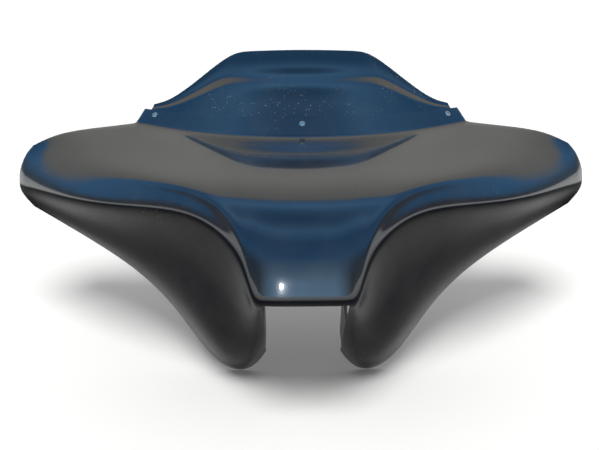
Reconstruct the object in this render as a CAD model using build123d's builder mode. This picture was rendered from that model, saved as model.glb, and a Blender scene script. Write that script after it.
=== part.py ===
from build123d import *
import math
import os

os.makedirs("parts", exist_ok=True)

# Motorcycle fairing: a moulded glass-fibre shell with two wings, a windscreen
# neck and two legs beside a notch, and a short recurved windscreen bolted
# behind the neck. Millimetres. X runs across, the nose faces minus Y, Z is up.

# Stance: moves the drawing so that the leg tips stand on Z = 0 and the depth
# of the whole object is centred on Y = 0.
stance_y = 6.05
stance_z = 243.34

# Shell
wall = 4.0
rim_y = 131.0
rim_lean = 0.58
notch_width = 118.0
notch_top = -22.0

# Neck that carries the windscreen: it runs a little past the windscreen's ends
screen_half = 262.0
neck_radius = 437.0
neck_front = 75.0
neck_floor = 114.0
neck_over = 6.0
neck_run = 30.0
neck_rise = 27.0
neck_draw = 20.0
neck_tall = 0.94
neck_fall = 0.26
neck_root = 3.0
neck_round = 3.0

# Windscreen and the gasket strip in front of its foot
screen_thick = 3.0
screen_foot = 0.24
crown_half = 140.0
crown_droop = 0.04
shoulder_share = 0.10
crown_run = 102.0
crown_rise = 85.0
gasket_thick = 1.5
gasket_short = 2.0
seat_gap = 0.3

# Windscreen screws with their washers and nuts
screw_share = 0.70
screw_inset = 16.3
screw_d = 5.0
screw_hole_d = 5.6
screw_tail = 1.5
head_d = 9.5
head_h = 2.75
socket_d = 3.4
socket_deep = 1.6
spot_d = 10.5
spot_deep = 0.5
washer_d = 12.0
washer_h = 1.2
washer_bore = 5.4
nut_across = 8.0
nut_h = 4.0
nut_collar_d = 6.8
nut_collar_h = 1.4
nut_bore = 5.1
screen_hole_d = 6.0

# Flat flanges inside the notch, and the steel plates that back them
flange_bite = 1.0
flange_back = -18.0
hole_y = -38.0
hole_z = -128.0
hole_pitch = 50.0
hole_d = 8.5
plate_thick = 3.0
plate_wide = 24.0
plate_long = 72.0

neck_half = screen_half + neck_over
gasket_half = screen_half - gasket_short


def line(*points):
    return [Vector(x, y + stance_y, z + stance_z) for x, y, z in points]


def rim(x, z):
    return (x, rim_y + rim_lean * z, z)


def neck_point(x, share):
    # A point on the front of the neck: share 0 is its root, 1 a full rise.
    y = neck_front + neck_radius - math.sqrt(neck_radius**2 - x**2)
    z = neck_floor - 2.0 * (x / neck_half) ** 2
    draw = neck_draw * x / neck_half
    return Vector(x - draw * share, y + neck_run * share + stance_y, z + neck_rise * share + stance_z)


# Character lines of the shell, each from the centre plane out to the tip.
neck_shares = (0, 0.157, 0.313, 0.47, 0.642, 0.828, 1)
neck_line = [neck_point(neck_half * share, 0) for share in neck_shares]
neck_line += line(rim(338, 98), rim(398, 91), rim(438, 73))
ledge_line = line(
    (0, -78, 109), (38, -76, 109), (68, -73, 110), (100, -65, 110), (134, -49, 109),
    (173, -24, 107), (228, 21, 102), (304, 85, 91), (378, 143, 82), rim(447, 64),
)
brow_line = line(
    (0, -164, 107), (36, -163, 107), (62, -160, 108), (91, -154, 109), (120, -144, 110),
    (156, -122, 109), (210, -75, 102), (289, 7, 86), (374, 100, 70), rim(453, 54),
)
nose_line = line(
    (0, -224, 58), (33, -224, 58), (55, -221, 60), (76, -212, 62), (94, -194, 76),
    (122, -155, 94), (180, -104, 98), (266, -35, 76), (367, 50, 54), rim(459, 38),
)
panel_line = line(
    (0, -240, -7), (36, -240, -7), (59, -237, -8), (72, -231, -6), (83, -213, 45),
    (113, -177, 72), (166, -130, 86), (253, -62, 66), (358, 22, 45), rim(459, 28),
)
crease_line = line(
    (0, -243, -19), (37, -243, -19), (60, -240, -20), (72, -234, -20), (84, -216, 25),
    (109, -185, 56), (159, -140, 75), (245, -73, 58), (352, 9, 37), rim(459, 19),
)
under_line = line(
    (0, -233, -29), (36, -233, -29), (58, -230, -31), (73, -228, -33), (87, -208, 18),
    (110, -180, 46), (157, -137, 65), (241, -71, 48), (348, 11, 27), rim(457, 11),
)
valley_line = line(
    (0, -120, -51), (37, -122, -57), (53, -130, -89), (76, -152, -108), (101, -136, -77),
    (131, -115, -41), (176, -71, -8), (252, -6, -10), (355, 70, -13), rim(452, 3),
)
cheek_line = line(
    (0, -35, -95), (38, -39, -123), (53, -52, -166), (80, -90, -191), (112, -100, -183),
    (146, -86, -153), (191, -43, -105), (261, 20, -66), (355, 79, -35), rim(445, -4),
)
lower_rim = line(
    (0, 13, -129), (39, 7, -173), (58, -3, -218), rim(88, -248), rim(128, -240),
    rim(165, -206), rim(209, -150), rim(272, -99), rim(359, -52), rim(434, -14),
)
body_lines = [
    neck_line, ledge_line, brow_line, nose_line, panel_line,
    crease_line, under_line, valley_line, cheek_line, lower_rim,
]


def mirrored(rail):
    return [Vector(-p.X, p.Y, p.Z) for p in reversed(rail[1:])] + list(rail)


def step(items, i):
    return items[min(i + 1, len(items) - 1)] - items[max(i - 1, 0)]


def eased(points):
    # Points of the smooth curve that a string of control points pulls.
    full = [points[0] * 2 - points[1]] + list(points) + [points[-1] * 2 - points[-2]]
    curve = []
    for i in range(1, len(full) - 1):
        curve.append((full[i - 1] + full[i] * 4 + full[i + 1]) / 6)
        if i < len(full) - 2:
            ends = full[i - 1] + full[i + 2]
            curve.append((ends + (full[i] + full[i + 1]) * 23) / 48)
    return curve


def inset_net(rails, depth, end):
    # The same net of lines moved inwards, square to the surface. The two end
    # columns stay in their own planes, so that the sheet ends in flat cuts.
    net = [mirrored(rail) for rail in rails]
    columns = [list(column) for column in zip(*net)]
    cuts = {0: Vector(-end.X, end.Y, end.Z), len(columns) - 1: end}
    moved = []
    for j, rail in enumerate(net):
        row = []
        for k, point in enumerate(rail):
            lean = min(max(j, 1), len(net) - 2) if k in cuts else j
            normal = step(columns[k], lean).cross(step(net[lean], k)).normalized()
            if k in cuts:
                flat = (normal - cuts[k] * normal.dot(cuts[k])).normalized()
                normal = flat / max(flat.dot(normal), 0.7)
            row.append(point - normal * depth)
        moved.append(row)
    return moved


def ribs(rails, depth, end):
    rows = [eased(row) for row in inset_net(rails, depth, end)]
    return [eased(list(column)) for column in zip(*rows)]


def sheet(rails, front, back, end):
    # A sheet between two depths below the surface that the lines pull.
    wires = []
    for fore, aft in zip(ribs(rails, front, end), ribs(rails, back, end)):
        outer = Edge.make_spline(fore)
        inner = Edge.make_spline(aft)
        top = Edge.make_line(fore[0], aft[0])
        bottom = Edge.make_line(fore[-1], aft[-1])
        wires.append(Wire([outer, bottom, inner, top]))
    return Solid.make_loft(wires)


rim_cut = Vector(0, 1, -rim_lean).normalized()


def side_cut(x):
    return Vector(1, 0, neck_draw * x / neck_half / neck_rise).normalized()


def neck_height(x):
    return neck_tall - neck_fall * (x / neck_half) ** 2


def stops(half):
    return [half * i / 12 for i in range(13)]


neck_lines = [
    [neck_point(x, neck_height(x)) for x in stops(neck_half)],
    [neck_point(x, neck_height(x) / 2) for x in stops(neck_half)],
    [neck_point(x, -neck_root / neck_rise) for x in stops(neck_half)],
]
gasket_lines = [
    [neck_point(x, neck_height(x) - 0.04) for x in stops(gasket_half)],
    [neck_point(x, neck_height(x) / 2 + 0.12) for x in stops(gasket_half)],
    [neck_point(x, screen_foot + 0.04) for x in stops(gasket_half)],
]


def crown(x):
    # Height of the windscreen as a share of its height at the centre.
    t = min(max((x - crown_half) / (screen_half - crown_half), 0.0), 1.0)
    droop = crown_droop * min(x / crown_half, 1.0) ** 2
    return 1.0 - droop - (1.0 - droop - shoulder_share) * t * t * (3.0 - 2.0 * t)


def screen_point(x, run, rise):
    # A point of the windscreen, so far behind and above the top of the neck.
    top = neck_point(x, neck_height(x))
    draw = neck_draw * x / neck_half * rise * crown(x) / neck_rise
    return top + Vector(-draw, run * crown(x), rise * crown(x))


def screen_row(run, rise):
    return [screen_point(x, run, rise) for x in stops(screen_half)]


screen_lines = [
    screen_row(crown_run, crown_rise),
    screen_row(crown_run * 0.90, crown_rise * 0.80),
    screen_row(crown_run * 0.77, crown_rise * 0.62),
    screen_row(crown_run * 0.45, crown_rise * 0.50),
    screen_row(neck_run * 0.60, neck_rise * 0.60),
    [neck_point(x, neck_height(x)) for x in stops(screen_half)],
    [neck_point(x, neck_height(x) / 2 + 0.12) for x in stops(screen_half)],
    [neck_point(x, screen_foot) for x in stops(screen_half)],
]


def leg_edge(i):
    # Where the notch cuts the inner side of the right leg, on one level.
    level = [rib[i] for rib in ribs(body_lines, 0, rim_cut)]
    for a, b in zip(level, level[1:]):
        if a.X <= notch_width / 2 <= b.X:
            return a + (b - a) * ((notch_width / 2 - a.X) / (b.X - a.X))


def screw_plane(x):
    # Plane on the front of the neck at a screw, its Z pointing outwards.
    share = screw_share * neck_height(x)
    up = neck_point(x, 1) - neck_point(x, 0)
    across = neck_point(x + 1, share) - neck_point(x - 1, share)
    return Plane(neck_point(x, share), x_dir=across, z_dir=across.cross(up))


foot_depth = wall + gasket_thick + 2 * seat_gap
clamp = foot_depth + screen_thick
screw_planes = {
    "left": screw_plane(screw_inset - screen_half),
    "centre": screw_plane(0),
    "right": screw_plane(screen_half - screw_inset),
}
hole_spots = [hole_z - hole_pitch / 2, hole_z + hole_pitch / 2]
inner_x = notch_width / 2

# Shell: one moulded skin of even wall with the neck joined to its top edge,
# the notch cut out between the legs and a flat flange behind each notch side.
with BuildPart() as fairing_shell:
    add(sheet(body_lines, 0, wall, rim_cut))
    add(sheet(neck_lines, 0, wall, side_cut(neck_half)))
    fillet(fairing_shell.edges().sort_by_distance(neck_point(0, 0))[0], neck_round)
    with BuildSketch(Plane.XZ.offset(-400)):
        with Locations((0, notch_top + stance_z - 150)):
            Rectangle(notch_width, 300)
    extrude(amount=800, mode=Mode.SUBTRACT)
    front = [leg_edge(i) for i in (14, 15, 16, 17)]
    low_back = rim_y + rim_lean * (front[-1].Z - stance_z) + stance_y
    for side in (1, -1):
        with BuildSketch(Plane.YZ.offset(side * inner_x)):
            with BuildLine():
                curve = Spline([(p.Y + flange_bite, p.Z) for p in front])
                Polyline(
                    curve @ 1,
                    (low_back, front[-1].Z),
                    (flange_back + stance_y, hole_z + stance_z),
                    (flange_back + stance_y, front[0].Z),
                    curve @ 0,
                )
            make_face()
        extrude(amount=side * wall)
    for z in hole_spots:
        with Locations(Location((0, hole_y + stance_y, z + stance_z), (0, 90, 0))):
            Cylinder(hole_d / 2, notch_width + 4 * wall, mode=Mode.SUBTRACT)
    for plane in screw_planes.values():
        with Locations(plane.location):
            Cylinder(screw_hole_d / 2, 4 * wall, mode=Mode.SUBTRACT)
            with Locations((0, 0, -spot_deep)):
                low = (Align.CENTER, Align.CENTER, Align.MIN)
                Cylinder(spot_d / 2, 4, align=low, mode=Mode.SUBTRACT)
fairing_shell.part.label = "fairing_shell"
export_step(fairing_shell.part, "parts/fairing_shell.step")

# Windscreen: a heat-formed acrylic sheet. Its foot stands behind the neck,
# its face runs on up the slope of the neck and its top edge curls up again.
with BuildPart() as windscreen:
    add(sheet(screen_lines, foot_depth, clamp, side_cut(screen_half)))
    for plane in screw_planes.values():
        with Locations(plane.location):
            Cylinder(screen_hole_d / 2, 8 * clamp, mode=Mode.SUBTRACT)
windscreen.part.label = "windscreen"
export_step(windscreen.part, "parts/windscreen.step")

# Gasket: a thin rubber strip pinched between the neck and the windscreen.
with BuildPart() as windscreen_gasket:
    front_face = wall + seat_gap
    add(sheet(gasket_lines, front_face, front_face + gasket_thick, side_cut(gasket_half)))
    for plane in screw_planes.values():
        with Locations(plane.location):
            Cylinder(screw_hole_d / 2, 8 * clamp, mode=Mode.SUBTRACT)
windscreen_gasket.part.label = "windscreen_gasket"
export_step(windscreen_gasket.part, "parts/windscreen_gasket.step")

# The fastener stack behind each screw head, counted from the front of the neck.
washer_front = clamp + seat_gap
nut_front = washer_front + washer_h
screw_end = nut_front + nut_h + nut_collar_h + screw_tail

for side, plane in screw_planes.items():
    # Button-head screw: domed head in a spot face, hexagon socket, plain shank.
    seat = plane.offset(-spot_deep)
    length = screw_end - spot_deep
    upright = Plane(seat.origin, x_dir=seat.x_dir, z_dir=-seat.y_dir)
    with BuildPart() as screw:
        with BuildSketch(upright):
            with BuildLine():
                Polyline(
                    (0, head_h),
                    (0, -length),
                    (screw_d / 2 - 0.5, -length),
                    (screw_d / 2, 0.5 - length),
                    (screw_d / 2, 0),
                    (head_d / 2, 0),
                    (head_d / 2, 0.5),
                )
                crest = (socket_d / 2 + 0.6, head_h)
                shoulder = (head_d / 2 - 0.75, head_h * 0.68)
                ThreePointArc((head_d / 2, 0.5), shoulder, crest)
                Line(crest, (0, head_h))
            make_face()
        revolve(axis=Axis(seat.origin, seat.z_dir))
        with BuildSketch(seat.offset(head_h)):
            RegularPolygon(socket_d / 2, 6, major_radius=False)
        extrude(amount=-socket_deep, mode=Mode.SUBTRACT)
    screw.part.label = "windscreen_screw_" + side
    export_step(screw.part, "parts/windscreen_screw_" + side + ".step")

    # Nylon washer against the back of the windscreen.
    with BuildPart() as washer:
        with BuildSketch(plane.offset(-washer_front)):
            Circle(washer_d / 2)
            Circle(washer_bore / 2, mode=Mode.SUBTRACT)
        extrude(amount=-washer_h)
    washer.part.label = "nylon_washer_" + side
    export_step(washer.part, "parts/nylon_washer_" + side + ".step")

    # Self-locking nut: a hexagon with a round collar that grips the thread.
    with BuildPart() as nut:
        with BuildSketch(plane.offset(-nut_front)):
            RegularPolygon(nut_across / 2, 6, major_radius=False)
        extrude(amount=-nut_h)
        with BuildSketch(plane.offset(-nut_front - nut_h)):
            Circle(nut_collar_d / 2)
        extrude(amount=-nut_collar_h)
        with BuildSketch(plane.offset(-nut_front)):
            Circle(nut_bore / 2)
        extrude(amount=-nut_h - nut_collar_h, mode=Mode.SUBTRACT)
    nut.part.label = "lock_nut_" + side
    export_step(nut.part, "parts/lock_nut_" + side + ".step")

# Backing plates: flat steel straps bonded inside the legs, behind the flanges.
for side, sign in (("left", -1), ("right", 1)):
    face_x = sign * (inner_x + wall + seat_gap)
    with BuildPart() as plate:
        with BuildSketch(Plane.YZ.offset(face_x)):
            with Locations((hole_y + stance_y, hole_z + stance_z)):
                RectangleRounded(plate_wide, plate_long, plate_wide / 4)
                with GridLocations(0, hole_pitch, 1, 2):
                    Circle(hole_d / 2, mode=Mode.SUBTRACT)
        extrude(amount=sign * plate_thick)
    plate.part.label = "leg_backing_plate_" + side
    export_step(plate.part, "parts/leg_backing_plate_" + side + ".step")
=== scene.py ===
import math

import bmesh
import bpy
from mathutils import Matrix, Vector


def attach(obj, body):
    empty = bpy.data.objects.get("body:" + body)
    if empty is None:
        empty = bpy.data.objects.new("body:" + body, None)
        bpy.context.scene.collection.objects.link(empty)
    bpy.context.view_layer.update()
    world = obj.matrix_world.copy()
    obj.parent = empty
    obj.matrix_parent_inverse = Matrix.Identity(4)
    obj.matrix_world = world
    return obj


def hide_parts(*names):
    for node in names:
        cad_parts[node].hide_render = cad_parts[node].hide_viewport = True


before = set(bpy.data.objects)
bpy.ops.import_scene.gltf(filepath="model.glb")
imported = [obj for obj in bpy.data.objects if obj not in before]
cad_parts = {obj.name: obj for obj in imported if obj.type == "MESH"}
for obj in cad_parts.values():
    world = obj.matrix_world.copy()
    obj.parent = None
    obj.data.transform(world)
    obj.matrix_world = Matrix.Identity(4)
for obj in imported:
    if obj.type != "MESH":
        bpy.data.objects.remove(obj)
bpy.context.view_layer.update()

# Fairing shell: one glass-fibre moulding, 4 mm thick, sprayed gloss black
# outside and left as dark chopped-strand lay-up inside. Two flat flanges behind
# the notch take the bolts of the fork bracket.
wall = 0.004
stance_y, stance_z = 6.05, 243.34
rim_y, rim_lean = 131.0, 0.58
notch_half, notch_top = 0.059, 0.22134
neck_radius, neck_front, neck_floor, neck_half = 437.0, 75.0, 114.0, 268.0
neck_run, neck_rise, neck_draw = 30.0, 27.0, 20.0


def at(x, y, z):
    # Drawing millimetres to the frame's metres.
    return Vector((x, y + stance_y, z + stance_z)) / 1000


def rim(x, z):
    return (x, rim_y + rim_lean * z, z)


def neck_height(x):
    return 0.94 - 0.26 * (x / neck_half) ** 2


def neck_point(x, share):
    # A point on the front of the neck: share 0 is its root, 1 a full rise.
    y = neck_front + neck_radius - math.sqrt(neck_radius**2 - x**2)
    z = neck_floor - 2.0 * (x / neck_half) ** 2
    return at(x - neck_draw * x / neck_half * share, y + neck_run * share, z + neck_rise * share)


neck_shares = (0, 0.157, 0.313, 0.47, 0.642, 0.828, 1)
neck_line = [neck_point(neck_half * share, 0) for share in neck_shares]
neck_line += [at(*rim(338, 98)), at(*rim(398, 91)), at(*rim(438, 73))]
ledge_line = (
    (0, -78, 109), (38, -76, 109), (68, -73, 110), (100, -65, 110), (134, -49, 109),
    (173, -24, 107), (228, 21, 102), (304, 85, 91), (378, 143, 82), rim(447, 64),
)
brow_line = (
    (0, -164, 107), (36, -163, 107), (62, -160, 108), (91, -154, 109), (120, -144, 110),
    (156, -122, 109), (210, -75, 102), (289, 7, 86), (374, 100, 70), rim(453, 54),
)
nose_line = (
    (0, -224, 58), (33, -224, 58), (55, -221, 60), (76, -212, 62), (94, -194, 76),
    (122, -155, 94), (180, -104, 98), (266, -35, 76), (367, 50, 54), rim(459, 38),
)
panel_line = (
    (0, -240, -7), (36, -240, -7), (59, -237, -8), (72, -231, -6), (83, -213, 45),
    (113, -177, 72), (166, -130, 86), (253, -62, 66), (358, 22, 45), rim(459, 28),
)
crease_line = (
    (0, -243, -19), (37, -243, -19), (60, -240, -20), (72, -234, -20), (84, -216, 25),
    (109, -185, 56), (159, -140, 75), (245, -73, 58), (352, 9, 37), rim(459, 19),
)
under_line = (
    (0, -233, -29), (36, -233, -29), (58, -230, -31), (73, -228, -33), (87, -208, 18),
    (110, -180, 46), (157, -137, 65), (241, -71, 48), (348, 11, 27), rim(457, 11),
)
valley_line = (
    (0, -120, -51), (37, -122, -57), (53, -130, -89), (76, -152, -108), (101, -136, -77),
    (131, -115, -41), (176, -71, -8), (252, -6, -10), (355, 70, -13), rim(452, 3),
)
cheek_line = (
    (0, -35, -95), (38, -39, -123), (53, -52, -166), (80, -90, -191), (112, -100, -183),
    (146, -86, -153), (191, -43, -105), (261, 20, -66), (355, 79, -35), rim(445, -4),
)
lower_rim = (
    (0, 13, -129), (39, 7, -173), (58, -3, -218), rim(88, -248), rim(128, -240),
    rim(165, -206), rim(209, -150), rim(272, -99), rim(359, -52), rim(434, -14),
)
body_lines = [neck_line]
for character_line in (
    ledge_line, brow_line, nose_line, panel_line, crease_line,
    under_line, valley_line, cheek_line, lower_rim,
):
    body_lines.append([at(*point) for point in character_line])


def net_cage(half_lines):
    # A grid pulled onto the lines, mirrored to the full width, top line first.
    lines = [[Vector((-p.x, p.y, p.z)) for p in reversed(half[1:])] + list(half) for half in half_lines]
    across, down = len(lines[0]) - 1, len(lines) - 1
    cage = bmesh.new()
    bmesh.ops.create_grid(cage, x_segments=across, y_segments=down, size=1)
    for v in cage.verts:
        i = round((v.co.x + 1) / 2 * across)
        j = round((1 - v.co.y) / 2 * down)
        v.co = lines[j][i]
    return cage


def new_piece(name, form):
    mesh = bpy.data.meshes.new(name)
    form.to_mesh(mesh)
    form.free()
    piece = bpy.data.objects.new(name, mesh)
    bpy.context.scene.collection.objects.link(piece)
    return piece


def settle(piece):
    # The modifiers' result becomes the piece's own mesh.
    graph = bpy.context.evaluated_depsgraph_get()
    finished = bpy.data.meshes.new_from_object(piece.evaluated_get(graph))
    piece.modifiers.clear()
    rough = piece.data
    piece.data = finished
    bpy.data.meshes.remove(rough)
    piece.data.name = piece.name


def soften(piece, levels):
    soft = piece.modifiers.new("soft", "SUBSURF")
    soft.levels = soft.render_levels = levels
    soft.boundary_smooth = "PRESERVE_CORNERS"
    settle(piece)


def thicken(piece, thickness, inner_slot=0, edge_slot=0):
    skin = piece.modifiers.new("skin", "SOLIDIFY")
    skin.thickness = thickness
    skin.offset = -1
    skin.use_even_offset = True
    skin.use_quality_normals = True
    skin.material_offset = inner_slot
    skin.material_offset_rim = edge_slot


def round_edges(piece, width, segments=3, angle=50):
    edges = piece.modifiers.new("edges", "BEVEL")
    edges.width = width
    edges.segments = segments
    edges.profile = 0.5
    edges.limit_method = "ANGLE"
    edges.angle_limit = math.radians(angle)


shell_cage = net_cage(body_lines)
stop = shell_cage.verts.layers.float.new("stop")
crease = shell_cage.edges.layers.float.new("crease_edge")
root = [
    e for e in shell_cage.edges
    if e.is_boundary and all(v.co.z > 0.35 and abs(v.co.x) < 0.2681 for v in e.verts)
]
for e in root:
    e[crease] = 0.42
    for v in e.verts:
        v[stop] = v.co.x * 1000
top = root
for share in (0.34, 0.67, 1.0):
    grown = bmesh.ops.extrude_edge_only(shell_cage, edges=top)["geom"]
    fresh = {g for g in grown if isinstance(g, bmesh.types.BMVert)}
    top = [g for g in grown if isinstance(g, bmesh.types.BMEdge) and set(g.verts) <= fresh]
    for e in top:
        e[crease] = 0
    for v in fresh:
        v.co = neck_point(v[stop], share * neck_height(v[stop]))
shell_cage.verts.layers.float.remove(stop)
bmesh.ops.recalc_face_normals(shell_cage, faces=shell_cage.faces)
foremost = min(shell_cage.faces, key=lambda f: f.calc_center_median().y)
if foremost.normal.y > 0:
    bmesh.ops.reverse_faces(shell_cage, faces=shell_cage.faces)
shell = new_piece("moulded_shell", shell_cage)
soften(shell, 3)


def middle(face):
    return face.calc_center_median()


def cut_through(form, faces, point, normal):
    parts = set(faces)
    for f in faces:
        parts.update(f.edges)
        parts.update(f.verts)
    bmesh.ops.bisect_plane(form, geom=list(parts), plane_co=point, plane_no=normal, dist=1e-6)


skin = bmesh.new()
skin.from_mesh(shell.data)
for side in (-notch_half, notch_half):
    strip = [f for f in skin.faces if middle(f).z < notch_top + 0.01 and abs(middle(f).x - side) < 0.015]
    cut_through(skin, strip, (side, 0, 0), (1, 0, 0))
strip = [f for f in skin.faces if abs(middle(f).x) < notch_half and abs(middle(f).z - notch_top) < 0.03]
cut_through(skin, strip, (0, 0, notch_top), (0, 0, 1))
waste = [f for f in skin.faces if abs(middle(f).x) < notch_half and middle(f).z < notch_top]
bmesh.ops.delete(skin, geom=waste, context="FACES")
skin.to_mesh(shell.data)
skin.free()


def finish(name, colour, roughness, **sockets):
    # A new finish and its shader, with the values that are the same all over.
    made = bpy.data.materials.new(name)
    made.use_nodes = True
    shader = made.node_tree.nodes["Principled BSDF"]
    shader.inputs["Base Color"].default_value = (*colour, 1)
    shader.inputs["Roughness"].default_value = roughness
    for socket, value in sockets.items():
        shader.inputs[socket.replace("_", " ").title().replace("Ior", "IOR")].default_value = value
    return made, shader


def node(made, kind, **inputs):
    added = made.node_tree.nodes.new(kind)
    for name, value in inputs.items():
        added.inputs[name.replace("_", " ").title()].default_value = value
    return added


def join(made, source, target):
    made.node_tree.links.new(source, target)


def noise(made, scale, detail=2.0, stretch=(1, 1, 1), turn=(0, 0, 0)):
    place = node(made, "ShaderNodeTexCoord")
    frame_map = node(made, "ShaderNodeMapping", scale=stretch, rotation=turn)
    field = node(made, "ShaderNodeTexNoise", scale=scale, detail=detail)
    join(made, place.outputs["Object"], frame_map.inputs["Vector"])
    join(made, frame_map.outputs["Vector"], field.inputs["Vector"])
    return field.outputs["Fac"]


def flecks(made, scale, size):
    # Round specks, one to a cell, 1 inside a speck and 0 outside.
    place = node(made, "ShaderNodeTexCoord")
    cells = node(made, "ShaderNodeTexVoronoi", scale=scale)
    join(made, place.outputs["Object"], cells.inputs["Vector"])
    return between(made, cells.outputs["Distance"], size, size * 0.5, 0.0, 1.0)


def between(made, source, low, high, start, end):
    spread = node(made, "ShaderNodeMapRange")
    for name, value in (("From Min", low), ("From Max", high), ("To Min", start), ("To Max", end)):
        spread.inputs[name].default_value = value
    join(made, source, spread.inputs["Value"])
    return spread.outputs["Result"]


def times(made, first, second):
    product = made.node_tree.nodes.new("ShaderNodeMath")
    product.operation = "MULTIPLY"
    join(made, first, product.inputs[0])
    join(made, second, product.inputs[1])
    return product.outputs[0]


def plus(made, first, second):
    total = made.node_tree.nodes.new("ShaderNodeMath")
    total.operation = "ADD"
    join(made, first, total.inputs[0])
    join(made, second, total.inputs[1])
    return total.outputs[0]


def tint(made, share, plain, marked):
    blend = made.node_tree.nodes.new("ShaderNodeMix")
    blend.data_type = "RGBA"
    blend.inputs[6].default_value = (*plain, 1)
    blend.inputs[7].default_value = (*marked, 1)
    join(made, share, blend.inputs[0])
    return blend.outputs[2]


def relief(made, shader, height, strength, distance):
    bump = node(made, "ShaderNodeBump", strength=strength, distance=distance)
    join(made, height, bump.inputs["Height"])
    join(made, bump.outputs["Normal"], shader.inputs["Normal"])
    return bump


# Gloss black paint, with a slight peel, dried water spots and a little dust. The
# faces that look down get far less gloss, so that they stay dark over a pale floor,
# and a warm brown painted reflection of the ground is mixed into their colour.
# The bluish specular tint is a painted blue cast on every reflection in the paint.
paint, shader = finish(
    "black_paint", (0.0025, 0.0035, 0.006), 0.16, ior=1.42, specular_tint=(0.85, 0.93, 1.0, 1.0),
    coat_weight=1.0, coat_ior=1.7, coat_roughness=0.04,
)
dusty = between(paint, noise(paint, 9.0, 3.0), 0.52, 0.70, 0.0, 1.0)
spots = times(paint, flecks(paint, 150.0, 0.16), dusty)
facing = node(paint, "ShaderNodeSeparateXYZ")
join(paint, node(paint, "ShaderNodeTexCoord").outputs["Normal"], facing.inputs[0])
gloss = between(paint, facing.outputs["Z"], 0.13, 0.23, 0, 1)
# Painted reflection: faces that look down are tinted warm brown, standing in for the ground they mirror.
painted_underside_reflection = between(paint, facing.outputs["Z"], -0.05, -0.4, 0.0, 0.07)
haze_and_underside_reflection = plus(paint, between(paint, noise(paint, 22.0, 6.0), 0.35, 0.75, 0.0, 0.035), painted_underside_reflection)
# Base colour: dust and water spots and a faint haze, plus the painted underside reflection.
dust_and_underside_reflection = plus(paint, times(paint, spots, between(paint, dusty, 0, 1, 0.0, 0.45)), haze_and_underside_reflection)
join(paint, tint(paint, dust_and_underside_reflection, (0.0025, 0.0035, 0.006), (0.19, 0.17, 0.145)), shader.inputs["Base Color"])
join(paint, plus(paint, between(paint, noise(paint, 35.0, 4.0), 0.3, 0.7, 0.12, 0.20),
     between(paint, spots, 0, 1, 0.0, 0.3)), shader.inputs["Roughness"])
relief(paint, shader, noise(paint, 260.0, 1.0), 0.05, 0.0004)
join(paint, gloss, shader.inputs["Coat Weight"])
join(paint, between(paint, gloss, 0, 1, 0.03, 0.5), shader.inputs["Specular IOR Level"])

# The bare inside: dark resin over chopped glass strands.
layup, shader = finish("strand_layup", (0.03, 0.032, 0.034), 0.5, ior=1.5)
strands = plus(
    layup,
    between(layup, noise(layup, 60.0, 2.0, (1, 1, 9), (0.4, 0.3, 0.8)), 0.42, 0.62, 0.0, 0.5),
    between(layup, noise(layup, 60.0, 2.0, (9, 1, 1), (0.9, 0.2, 0.5)), 0.42, 0.62, 0.0, 0.5),
)
join(layup, tint(layup, strands, (0.018, 0.019, 0.02), (0.06, 0.062, 0.062)), shader.inputs["Base Color"])
join(layup, between(layup, strands, 0, 1, 0.35, 0.62), shader.inputs["Roughness"])
relief(layup, shader, strands, 0.5, 0.0006)

# The sawn edge: sanded laminate with thin paint over it.
edge, shader = finish("trimmed_edge", (0.03, 0.026, 0.022), 0.4, ior=1.5)
sanded = between(edge, noise(edge, 420.0, 4.0), 0.4, 0.65, 0.0, 1.0)
join(edge, tint(edge, sanded, (0.012, 0.011, 0.010), (0.07, 0.058, 0.046)), shader.inputs["Base Color"])
join(edge, between(edge, sanded, 0, 1, 0.25, 0.55), shader.inputs["Roughness"])
relief(edge, shader, sanded, 0.3, 0.0003)

for lining in (paint, layup, edge):
    shell.data.materials.append(lining)
thicken(shell, wall, inner_slot=1, edge_slot=2)
round_edges(shell, 0.0011)
settle(shell)


def neck_frame(x):
    # The place of a screw on the neck, its Z pointing out of the face.
    share = 0.70 * neck_height(x)
    up = neck_point(x, 1) - neck_point(x, 0)
    across = (neck_point(x + 1, share) - neck_point(x - 1, share)).normalized()
    out = across.cross(up).normalized()
    spot = Matrix((across, out.cross(across), out)).transposed().to_4x4()
    spot.translation = neck_point(x, share)
    return spot


screw_x = 262.0 - 16.3
screw_frames = {"left": neck_frame(-screw_x), "centre": neck_frame(0.0), "right": neck_frame(screw_x)}


def turned(profile, steps, closed=False):
    # A profile of radius and height, turned about its own axis.
    form = bmesh.new()
    verts = [form.verts.new((r, 0, z)) for r, z in profile]
    edges = [form.edges.new(pair) for pair in zip(verts, verts[1:])]
    if closed:
        edges.append(form.edges.new((verts[-1], verts[0])))
    bmesh.ops.spin(
        form, geom=verts + edges, cent=(0, 0, 0), axis=(0, 0, 1),
        angle=math.tau, steps=steps, use_merge=True,
    )
    bmesh.ops.remove_doubles(form, verts=form.verts, dist=1e-7)
    bmesh.ops.recalc_face_normals(form, faces=form.faces)
    return form


def bore(piece, profile):
    # Drills the same turned profile at each of the three screws.
    for spot in screw_frames.values():
        form = turned(profile, 40)
        bmesh.ops.transform(form, matrix=spot, verts=form.verts)
        drill = new_piece("drill", form)
        hole = piece.modifiers.new("hole", "BOOLEAN")
        hole.operation = "DIFFERENCE"
        hole.solver = "EXACT"
        hole.object = drill
        settle(piece)
        bpy.data.objects.remove(drill)


bore(shell, (
    (0, -0.012), (0.0028, -0.012), (0.0028, -0.0005), (0.00525, -0.0005), (0.00525, 0.004), (0, 0.004),
))


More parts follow.
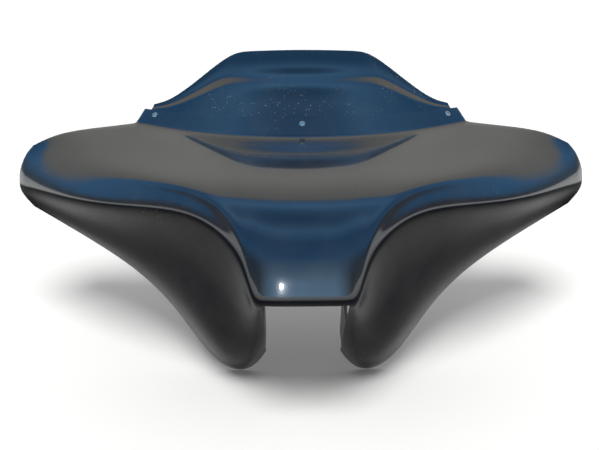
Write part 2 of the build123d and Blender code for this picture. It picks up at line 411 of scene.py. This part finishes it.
def pierced_plate(outline, holes, thickness):
    # A flat plate in X and Y with round holes, thick along Z.
    plate = bmesh.new()
    corners = [plate.verts.new((x, y, 0)) for x, y in outline]
    border = [plate.edges.new(pair) for pair in zip(corners, corners[1:] + corners[:1])]
    for x, y, radius in holes:
        ring = bmesh.ops.create_circle(
            plate, segments=32, radius=radius, matrix=Matrix.Translation((x, y, 0))
        )["verts"]
        border += {e for v in ring for e in v.link_edges}
    bmesh.ops.triangle_fill(plate, use_beauty=True, edges=border)
    grown = bmesh.ops.extrude_face_region(plate, geom=plate.faces[:])["geom"]
    raised = [g for g in grown if isinstance(g, bmesh.types.BMVert)]
    bmesh.ops.translate(plate, verts=raised, vec=(0, 0, thickness))
    bmesh.ops.recalc_face_normals(plate, faces=plate.faces)
    return plate


def upright(side, x):
    # Stands a plate on edge: its X along Y, its Y along Z, its thickness outwards.
    return Matrix(((0, 0, side, side * x), (1, 0, 0, 0), (0, 1, 0, 0), (0, 0, 0, 1)))


flange_outline = [
    (-0.1320, 0.1493), (-0.0923, 0.1138), (-0.0563, 0.0804), (-0.0241, 0.0528),
    (0.0265, 0.0528), (-0.01195, 0.1153), (-0.01195, 0.1493),
]
bolt_holes = [(-0.03195, 0.09034, 0.00425), (-0.03195, 0.14034, 0.00425)]
skin = bmesh.new()
skin.from_mesh(shell.data)
for side in (-1, 1):
    flange = pierced_plate(flange_outline, bolt_holes, wall)
    bmesh.ops.transform(flange, matrix=upright(side, notch_half), verts=flange.verts)
    bmesh.ops.recalc_face_normals(flange, faces=flange.faces)
    for f in flange.faces:
        f.material_index = 1
    moulded = bpy.data.meshes.new("flange")
    flange.to_mesh(moulded)
    flange.free()
    skin.from_mesh(moulded)
    bpy.data.meshes.remove(moulded)
skin.to_mesh(shell.data)
skin.free()
shell.data.shade_smooth()
shell.data.set_sharp_from_angle(angle=math.radians(45))
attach(shell, "root")
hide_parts("fairing_shell")

# Windscreen: a short sheet of dark smoked acrylic, 3 mm thick, heat-formed so
# that its top edge curls up. Its foot is screwed to the back of the neck.
screen_half, screen_foot, screen_thick = 262.0, 0.24, 0.003
foot_depth = 0.0061
crown_half, crown_droop, shoulder_share = 140.0, 0.04, 0.10
crown_run, crown_rise = 102.0, 85.0


def crown(x):
    # Height of the windscreen as a share of its height at the centre.
    t = min(max((x - crown_half) / (screen_half - crown_half), 0.0), 1.0)
    droop = crown_droop * min(x / crown_half, 1.0) ** 2
    return 1.0 - droop - (1.0 - droop - shoulder_share) * t * t * (3.0 - 2.0 * t)


def screen_row(run, rise):
    row = []
    for x in (screen_half * i / 12 for i in range(13)):
        draw = neck_draw * x / neck_half * rise * crown(x) / neck_rise
        lift = Vector((-draw, run * crown(x), rise * crown(x))) / 1000
        row.append(neck_point(x, neck_height(x)) + lift)
    return row


def neck_row(half, height):
    return [neck_point(x, height(x)) for x in (half * i / 12 for i in range(13))]


def sink(piece, depth):
    # Moves a skin inwards, square to itself.
    form = bmesh.new()
    form.from_mesh(piece.data)
    form.normal_update()
    for v, place in [(v, v.co - v.normal * depth) for v in form.verts]:
        v.co = place
    form.to_mesh(piece.data)
    form.free()


screen = new_piece("formed_windscreen", net_cage([
    screen_row(crown_run, crown_rise),
    screen_row(crown_run * 0.90, crown_rise * 0.80),
    screen_row(crown_run * 0.77, crown_rise * 0.62),
    screen_row(crown_run * 0.45, crown_rise * 0.50),
    screen_row(neck_run * 0.60, neck_rise * 0.60),
    neck_row(screen_half, neck_height),
    neck_row(screen_half, lambda x: neck_height(x) / 2 + 0.12),
    neck_row(screen_half, lambda x: screen_foot),
]))
soften(screen, 3)
sink(screen, foot_depth)
acrylic, shader = finish(
    "smoked_acrylic", (0.002, 0.003, 0.005), 0.05, ior=1.42,
    coat_weight=1.0, coat_ior=1.7, coat_roughness=0.03,
)
dull = between(acrylic, noise(acrylic, 12.0, 3.0), 0.5, 0.72, 0.0, 1.0)
specks = times(acrylic, flecks(acrylic, 190.0, 0.15), dull)
hairlines = between(acrylic, noise(acrylic, 55.0, 2.0, (1, 26, 14), (0.5, 0.2, 0.9)), 0.66, 0.72, 0.0, 0.25)
marks = plus(acrylic, between(acrylic, specks, 0, 1, 0, 0.8), between(acrylic, dull, 0, 1, 0.0, 0.015))
join(acrylic, tint(acrylic, marks, (0.002, 0.003, 0.005), (0.4, 0.43, 0.46)), shader.inputs["Base Color"])
join(acrylic, plus(acrylic, between(acrylic, noise(acrylic, 30.0, 4.0), 0.3, 0.7, 0.03, 0.07), hairlines),
     shader.inputs["Roughness"])
relief(acrylic, shader, noise(acrylic, 18.0, 1.0), 0.04, 0.002)
screen.data.materials.append(acrylic)
thicken(screen, screen_thick)
round_edges(screen, 0.0010)
settle(screen)
bore(screen, ((0, -0.03), (0.003, -0.03), (0.003, 0.01), (0, 0.01)))
screen.data.shade_smooth()
screen.data.set_sharp_from_angle(angle=math.radians(45))
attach(screen, "root")
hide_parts("windscreen")

# Gasket: a thin strip of black rubber between the neck and the windscreen,
# pinched by the three screws.
gasket_half = 260.0
strip = new_piece("rubber_strip", net_cage([
    neck_row(gasket_half, lambda x: neck_height(x) - 0.04),
    neck_row(gasket_half, lambda x: neck_height(x) / 2 + 0.12),
    neck_row(gasket_half, lambda x: screen_foot + 0.04),
]))
soften(strip, 2)
sink(strip, wall + 0.0004)
rubber, shader = finish("gasket_rubber", (0.02, 0.02, 0.02), 0.7, ior=1.45)
worn = between(rubber, noise(rubber, 180.0, 4.0), 0.35, 0.7, 0.0, 1.0)
join(rubber, tint(rubber, worn, (0.012, 0.012, 0.012), (0.035, 0.034, 0.033)), shader.inputs["Base Color"])
join(rubber, between(rubber, worn, 0, 1, 0.6, 0.85), shader.inputs["Roughness"])
relief(rubber, shader, worn, 0.2, 0.0002)
strip.data.materials.append(rubber)
thicken(strip, 0.0014)
round_edges(strip, 0.0004, 2)
settle(strip)
bore(strip, ((0, -0.03), (0.0028, -0.03), (0.0028, 0.01), (0, 0.01)))
strip.data.shade_smooth()
strip.data.set_sharp_from_angle(angle=math.radians(45))
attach(strip, "root")
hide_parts("windscreen_gasket")

# Windscreen screws: three zinc-plated M5 button heads with a hexagon socket,
# each in a shallow spot face of the neck, threaded to the end.
head_r, head_h, socket_r, socket_deep = 0.00475, 0.00275, 0.0017, 0.0016
clamp = foot_depth + screen_thick
stack = clamp + 0.0003 + 0.0012 + 0.004 + 0.0014
screw_end = stack + 0.0015
zinc, shader = finish("bright_steel", (0.66, 0.62, 0.56), 0.4, metallic=1.0)
brushed = between(zinc, noise(zinc, 900.0, 3.0, (1, 1, 6)), 0.3, 0.7, 0.0, 1.0)
join(zinc, tint(zinc, brushed, (0.58, 0.54, 0.47), (0.76, 0.72, 0.65)), shader.inputs["Base Color"])
join(zinc, between(zinc, brushed, 0, 1, 0.36, 0.5), shader.inputs["Roughness"])


def button_screw():
    seat = -0.0005
    profile = [(socket_r + 0.0006, seat + head_h)]
    for a in (0.25, 0.5, 0.75, 1.0):
        reach = socket_r + 0.0006 + (head_r - socket_r - 0.0006) * math.sin(a * math.pi / 2)
        profile.append((reach, seat + 0.0005 + (head_h - 0.0005) * math.cos(a * math.pi / 2)))
    profile += [(head_r, seat), (0.0025, seat)]
    turns = int((screw_end + seat - 0.001) / 0.0008)
    for i in range(turns):
        profile += [(0.0025, seat - 0.001 - 0.0008 * i), (0.0021, seat - 0.0014 - 0.0008 * i)]
    profile += [(0.0025, seat - 0.001 - 0.0008 * turns), (0.002, -screw_end), (0, -screw_end)]
    form = turned(profile, 36)
    mouth = [e for e in form.edges if e.is_boundary]
    socket = bmesh.ops.create_circle(
        form, segments=6, radius=socket_r / math.cos(math.pi / 6),
        matrix=Matrix.Translation((0, 0, seat + head_h)),
    )["verts"]
    hexagon = list({e for v in socket for e in v.link_edges})
    bmesh.ops.triangle_fill(form, use_beauty=True, edges=mouth + hexagon)
    grown = bmesh.ops.extrude_edge_only(form, edges=hexagon)["geom"]
    deep = {g for g in grown if isinstance(g, bmesh.types.BMVert)}
    bmesh.ops.translate(form, verts=list(deep), vec=(0, 0, -socket_deep))
    floor_edges = [g for g in grown if isinstance(g, bmesh.types.BMEdge) and set(g.verts) <= deep]
    bmesh.ops.edgeloop_fill(form, edges=floor_edges)
    bmesh.ops.recalc_face_normals(form, faces=form.faces)
    return form


for place, spot in screw_frames.items():
    form = button_screw()
    bmesh.ops.transform(form, matrix=spot, verts=form.verts)
    screw = new_piece("button_screw_" + place, form)
    screw.data.materials.append(zinc)
    screw.data.shade_smooth()
    screw.data.set_sharp_from_angle(angle=math.radians(35))
    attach(screw, "root")
    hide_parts("windscreen_screw_" + place)

# Washers: natural nylon, between the back of the acrylic and the nuts.
nylon, shader = finish("nylon", (0.75, 0.74, 0.70), 0.45, ior=1.53, subsurface_weight=0.15)
cloud = between(nylon, noise(nylon, 300.0, 3.0), 0.3, 0.7, 0.0, 1.0)
join(nylon, tint(nylon, cloud, (0.68, 0.66, 0.61), (0.80, 0.79, 0.75)), shader.inputs["Base Color"])
join(nylon, between(nylon, cloud, 0, 1, 0.38, 0.55), shader.inputs["Roughness"])
washer_top = -(clamp + 0.0003)
for place, spot in screw_frames.items():
    form = turned((
        (0.0027, washer_top), (0.006, washer_top),
        (0.006, washer_top - 0.0012), (0.0027, washer_top - 0.0012),
    ), 40, closed=True)
    bmesh.ops.transform(form, matrix=spot, verts=form.verts)
    washer = new_piece("washer_" + place, form)
    washer.data.materials.append(nylon)
    round_edges(washer, 0.0002, 2)
    settle(washer)
    washer.data.shade_smooth()
    washer.data.set_sharp_from_angle(angle=math.radians(50))
    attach(washer, "root")
    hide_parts("nylon_washer_" + place)

# Lock nuts: zinc-plated hexagon nuts with a nylon ring crimped in the collar.
nut_top = washer_top - 0.0012
hex_r = 0.004 / math.cos(math.pi / 6)
hexagon = [(hex_r * math.cos(i * math.pi / 3), hex_r * math.sin(i * math.pi / 3)) for i in range(6)]
for place, spot in screw_frames.items():
    form = pierced_plate(hexagon, [(0, 0, 0.00255)], 0.004)
    bmesh.ops.translate(form, verts=form.verts, vec=(0, 0, nut_top - 0.004))
    collar = turned((
        (0.00255, nut_top - 0.004), (0.0034, nut_top - 0.004), (0.0034, nut_top - 0.0048),
        (0.003, nut_top - 0.0054), (0.00255, nut_top - 0.0054),
    ), 36, closed=True)
    crimped = bpy.data.meshes.new("collar")
    collar.to_mesh(crimped)
    collar.free()
    form.from_mesh(crimped)
    bpy.data.meshes.remove(crimped)
    bmesh.ops.transform(form, matrix=spot, verts=form.verts)
    nut = new_piece("nut_" + place, form)
    nut.data.materials.append(zinc)
    round_edges(nut, 0.0003, 2)
    settle(nut)
    nut.data.shade_smooth()
    nut.data.set_sharp_from_angle(angle=math.radians(35))
    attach(nut, "root")
    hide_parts("lock_nut_" + place)

# Backing plates: rolled steel straps bonded inside each leg behind the flange,
# so that the bracket's bolts don't pull through the laminate.
plate_wide, plate_long, plate_thick = 0.024, 0.072, 0.003
bare_steel, shader = finish("plate_steel", (0.35, 0.35, 0.34), 0.42, metallic=1.0)
rolled = between(bare_steel, noise(bare_steel, 160.0, 4.0, (1, 1, 0.1)), 0.3, 0.7, 0.0, 1.0)
stain = between(bare_steel, noise(bare_steel, 70.0, 5.0), 0.55, 0.75, 0.0, 0.6)
join(bare_steel, tint(bare_steel, stain, (0.36, 0.36, 0.35), (0.16, 0.11, 0.08)), shader.inputs["Base Color"])
join(bare_steel, between(bare_steel, rolled, 0, 1, 0.32, 0.52), shader.inputs["Roughness"])
relief(bare_steel, shader, rolled, 0.1, 0.0002)
corner = plate_wide / 4
strap_outline = []
for cx, cy, first in ((1, 1, 0), (-1, 1, 1), (-1, -1, 2), (1, -1, 3)):
    for i in range(7):
        a = (first + i / 6) * math.pi / 2
        strap_outline.append((
            -0.03195 + cx * (plate_wide / 2 - corner) + corner * math.cos(a),
            0.11534 + cy * (plate_long / 2 - corner) + corner * math.sin(a),
        ))
for place, side in (("left", -1), ("right", 1)):
    form = pierced_plate(strap_outline, bolt_holes, plate_thick)
    bmesh.ops.transform(form, matrix=upright(side, notch_half + wall + 0.0003), verts=form.verts)
    bmesh.ops.recalc_face_normals(form, faces=form.faces)
    plate = new_piece("strap_" + place, form)
    plate.data.materials.append(bare_steel)
    round_edges(plate, 0.0004, 2)
    settle(plate)
    plate.data.shade_smooth()
    plate.data.set_sharp_from_angle(angle=math.radians(40))
    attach(plate, "root")
    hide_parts("leg_backing_plate_" + place)

# Studio: a plain pale floor and horizon under soft light. The gloss mirrors a sky
# that is blue in front and above, beige behind and dim at the sides. The camera
# stands a little above and left of the centre.
form = bmesh.new()
bmesh.ops.create_grid(form, x_segments=1, y_segments=1, size=40)
bmesh.ops.translate(form, verts=form.verts, vec=(0, 0, -0.0005))
floor = new_piece("floor", form)
pale, shader = finish("pale_floor", (0.87, 0.87, 0.865), 0.9, ior=1.2)
floor.data.materials.append(pale)

world = bpy.data.worlds.new("studio")
bpy.context.scene.world = world
world.use_nodes = True
sky = world.node_tree.nodes["Background"]
sky.inputs["Strength"].default_value = 2.0
place = world.node_tree.nodes.new("ShaderNodeTexCoord")
axes = world.node_tree.nodes.new("ShaderNodeSeparateXYZ")
join(world, place.outputs["Generated"], axes.inputs[0])
height = between(world, axes.outputs["Z"], -1, 1, 0, 1)


def gradient(stops):
    ramp = world.node_tree.nodes.new("ShaderNodeValToRGB")
    points = ramp.color_ramp.elements
    while len(points) < len(stops):
        points.new(0.5)
    for point, (level, colour) in zip(points, stops):
        point.position = (level + 1) / 2
        point.color = (*colour, 1)
    join(world, height, ramp.inputs["Fac"])
    return ramp.outputs["Color"]


ahead = gradient((
    (-0.1, (0.06, 0.065, 0.07)), (0.03, (0.08, 0.10, 0.125)), (0.24, (0.07, 0.11, 0.16)),
    (0.45, (0.07, 0.21, 0.42)), (0.80, (0.05, 0.17, 0.36)), (0.94, (0.12, 0.31, 0.58)),
    (1.0, (0.05, 0.15, 0.30)),
))
behind = gradient((
    (-0.1, (0.10, 0.09, 0.08)), (0.05, (0.20, 0.195, 0.18)), (0.35, (0.22, 0.215, 0.20)),
    (0.82, (0.27, 0.265, 0.245)), (0.90, (0.06, 0.14, 0.27)), (1.0, (0.05, 0.15, 0.30)),
))
aside = world.node_tree.nodes.new("ShaderNodeMath")
aside.operation = "ABSOLUTE"
join(world, axes.outputs["X"], aside.inputs[0])
low_ahead = times(
    world,
    between(world, aside.outputs[0], 0.2, 0.6, 1, 0),
    between(world, axes.outputs["Z"], 0.0, 0.5, 1, 0),
)


def blend(share, first, second):
    mixer = world.node_tree.nodes.new("ShaderNodeMix")
    mixer.data_type = "RGBA"
    join(world, share, mixer.inputs[0])
    join(world, first, mixer.inputs[6])
    if isinstance(second, tuple):
        mixer.inputs[7].default_value = (*second, 1)
    else:
        join(world, second, mixer.inputs[7])
    return mixer.outputs[2]


mirrored = blend(low_ahead, ahead, (0.36, 0.66, 1.0))
mirrored = blend(between(world, axes.outputs["Y"], 0.47, 0.55, 0, 1), mirrored, behind)
mirrored = blend(between(world, aside.outputs[0], 0.90, 0.98, 0, 1), mirrored, (0.09, 0.095, 0.105))
horizon = times(
    world,
    between(world, axes.outputs["Z"], 0.06, 0.10, 1, 0),
    between(world, axes.outputs["Y"], -0.6, -0.3, 0, 1),
)
mirrored = blend(horizon, mirrored, (0.48, 0.48, 0.48))
path = world.node_tree.nodes.new("ShaderNodeLightPath")
join(world, blend(path.outputs["Is Diffuse Ray"], mirrored, (0.25, 0.25, 0.25)), sky.inputs["Color"])

key = bpy.data.lights.new("key", "SUN")
key.energy = 2.8
key.angle = math.radians(24)
key.color = (1.0, 0.995, 0.985)
lamp = bpy.data.objects.new("key", key)
lamp.rotation_euler = Vector((0.05, 0.62, -1.0)).to_track_quat("-Z", "Y").to_euler()
lamp.visible_glossy = False
bpy.context.scene.collection.objects.link(lamp)

spark = bpy.data.lights.new("spark", "AREA")
spark.shape = "DISK"
spark.size = 0.10
spark.energy = 5
spark.color = (1.0, 0.97, 0.94)
lamp = bpy.data.objects.new("spark", spark)
lamp.location = (-0.32, -3.0, 0.45)
lamp.rotation_euler = (Vector((0, 0, 0.25)) - lamp.location).to_track_quat("-Z", "Y").to_euler()
bpy.context.scene.collection.objects.link(lamp)

camera = bpy.data.cameras.new("camera")
camera.lens = 70.8
camera.sensor_width = 36.0
camera.shift_x = -0.0053
viewer = bpy.data.objects.new("camera", camera)
target = Vector((0, 0.00605, 0.24334))
viewer.location = target + Vector((-0.0262, -1.6687, 0.6743))
viewer.rotation_euler = (target - viewer.location).to_track_quat("-Z", "Y").to_euler()
bpy.context.scene.collection.objects.link(viewer)
bpy.context.scene.camera = viewer
bpy.context.scene.view_settings.view_transform = "Standard"
